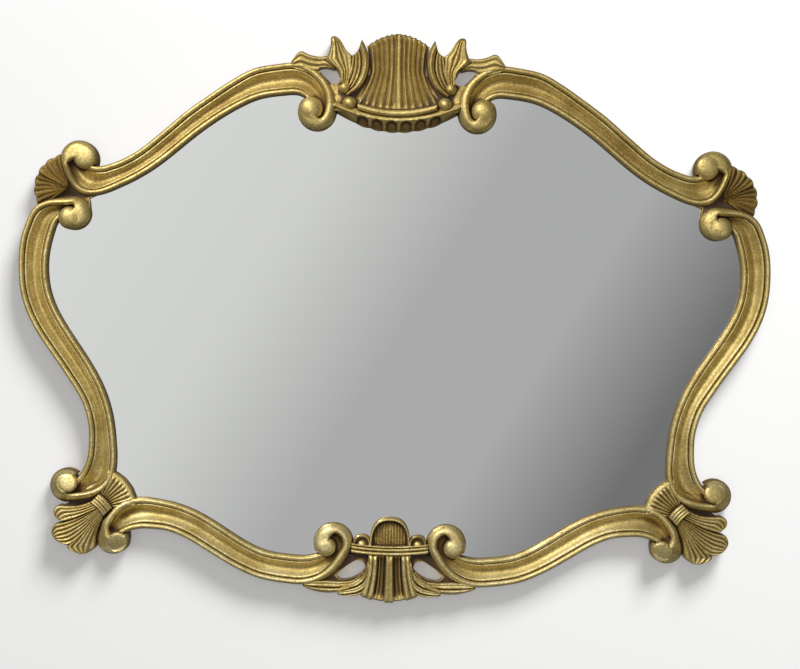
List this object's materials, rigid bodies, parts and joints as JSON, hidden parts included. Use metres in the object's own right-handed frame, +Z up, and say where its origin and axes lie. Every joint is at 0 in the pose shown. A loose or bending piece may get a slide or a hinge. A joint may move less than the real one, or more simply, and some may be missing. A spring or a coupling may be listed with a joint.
{
  "type": "wall mirror",
  "caption": "Wall mirror with a cartouche-shaped pane in a carved, gilded frame of scrolled rails, shell crest, shell and leaf corners and a pierced apron.",
  "frame": {"origin": "point on the hanger plate's flat back, just above the keyhole slot, where the wall screw carries the mirror", "axes": "+X to the viewer's right, along the width; +Y into the wall, square to the flat back; +Z up"},
  "size_m": [0.9984, 0.037, 0.754],
  "materials": {
    "gilt_wood": "carved wood under aged gold leaf, rubbed bright on the crests and brown in the hollows",
    "silvered_glass": "silvered on the back, polished",
    "hardboard": "plain brown hardboard",
    "zinc_steel": "zinc-plated, dulled"
  },
  "bodies": {
    "root": {"carved_frame": "gilt_wood", "mirror_glass": "silvered_glass", "backing_board": "hardboard", "hanger_plate": "zinc_steel", "hanger_screw_upper": "zinc_steel", "hanger_screw_lower": "zinc_steel"}
  },
  "joints": []
}
